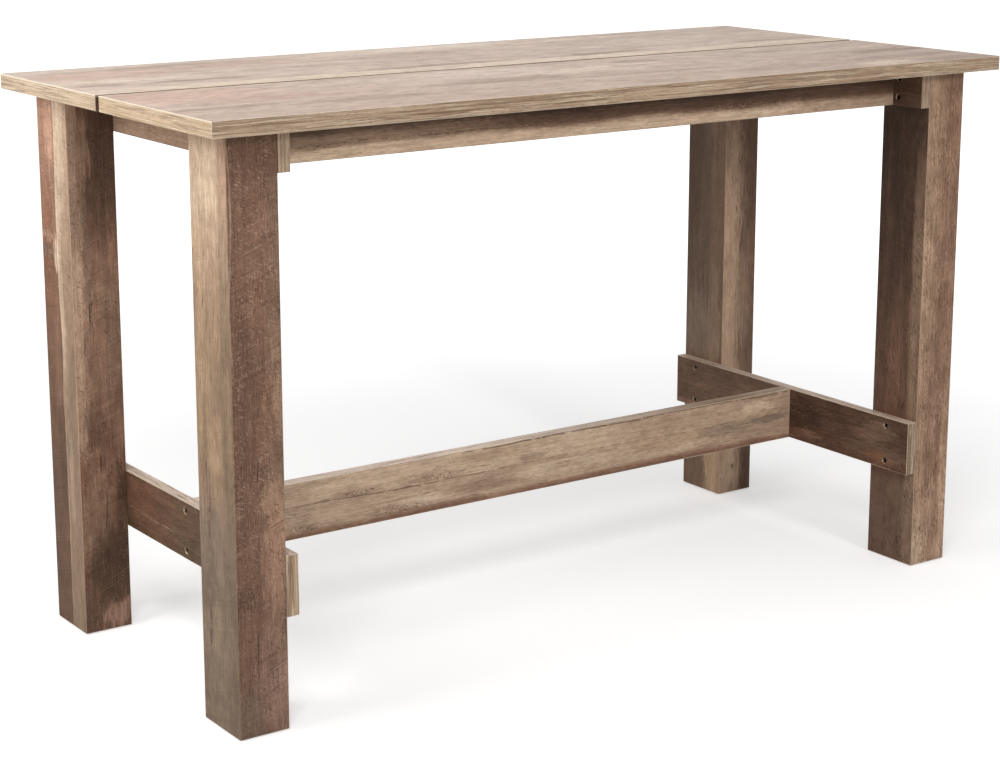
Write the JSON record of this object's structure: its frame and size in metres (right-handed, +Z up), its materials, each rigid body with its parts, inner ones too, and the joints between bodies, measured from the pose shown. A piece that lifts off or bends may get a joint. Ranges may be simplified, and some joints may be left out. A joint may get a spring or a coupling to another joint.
{
  "type": "counter height table",
  "caption": "Counter height table with a split plank top, square-edged box legs, end rails and a low centre stretcher, all in weathered wood print.",
  "frame": {"origin": "on the floor, under the middle of the top", "axes": "+X along the length of the table, +Y from the front to the back, +Z up"},
  "size_m": [1.524, 0.724, 0.914],
  "materials": {
    "top_laminate": "matt printed paper on board, pale weathered plank",
    "rail_laminate": "matt printed paper on board, weathered plank",
    "leg_laminate": "matt printed paper on board, brown weathered plank",
    "edge_band": "printed plastic edge band with fine oak lines",
    "leg_block": "raw particle board",
    "plain_rail": "matt printed paper on board",
    "steel": "zinc plated",
    "brass_insert": "machined",
    "cam_metal": "die cast zinc alloy, dull",
    "dowel_wood": "raw beech",
    "glide_plastic": "moulded, matt"
  },
  "bodies": {
    "root": {"angle_brackets": "steel", "barrel_nuts": "steel", "bracket_screws": "steel", "cam_dowels": "steel", "cam_locks": "cam_metal", "foot_glides": "glide_plastic", "leg_back_left_back_panel": "leg_laminate", "leg_back_left_bottom_block": "leg_block", "leg_back_left_front_panel": "leg_laminate", "leg_back_left_inner_panel": "leg_laminate", "leg_back_left_middle_block": "leg_block", "leg_back_left_outer_panel": "leg_laminate", "leg_back_left_top_block": "leg_block", "leg_back_right_back_panel": "leg_laminate", "leg_back_right_bottom_block": "leg_block", "leg_back_right_front_panel": "leg_laminate", "leg_back_right_inner_panel": "leg_laminate", "leg_back_right_middle_block": "leg_block", "leg_back_right_outer_panel": "leg_laminate", "leg_back_right_top_block": "leg_block", "leg_bolts": "steel", "leg_front_left_back_panel": "leg_laminate", "leg_front_left_bottom_block": "leg_block", "leg_front_left_front_panel": "leg_laminate", "leg_front_left_inner_panel": "leg_laminate", "leg_front_left_middle_block": "leg_block", "leg_front_left_outer_panel": "leg_laminate", "leg_front_left_top_block": "leg_block", "leg_front_right_back_panel": "leg_laminate", "leg_front_right_bottom_block": "leg_block", "leg_front_right_front_panel": "leg_laminate", "leg_front_right_inner_panel": "leg_laminate", "leg_front_right_middle_block": "leg_block", "leg_front_right_outer_panel": "leg_laminate", "leg_front_right_top_block": "leg_block", "leg_inserts": "brass_insert", "lower_end_rail_left": "rail_laminate", "lower_end_rail_left_bands": "edge_band", "lower_end_rail_right": "rail_laminate", "lower_end_rail_right_bands": "edge_band", "stretcher": "rail_laminate", "stretcher_bands": "edge_band", "stretcher_bolts": "steel", "top_board_back": "top_laminate", "top_board_back_bands": "edge_band", "top_board_front": "top_laminate", "top_board_front_bands": "edge_band", "upper_cross_rail": "plain_rail", "upper_end_rail_left": "rail_laminate", "upper_end_rail_left_bands": "edge_band", "upper_end_rail_right": "rail_laminate", "upper_end_rail_right_bands": "edge_band", "upper_long_rail_back": "rail_laminate", "upper_long_rail_back_bands": "edge_band", "upper_long_rail_front": "rail_laminate", "upper_long_rail_front_bands": "edge_band", "wood_dowels": "dowel_wood"}
  },
  "joints": []
}
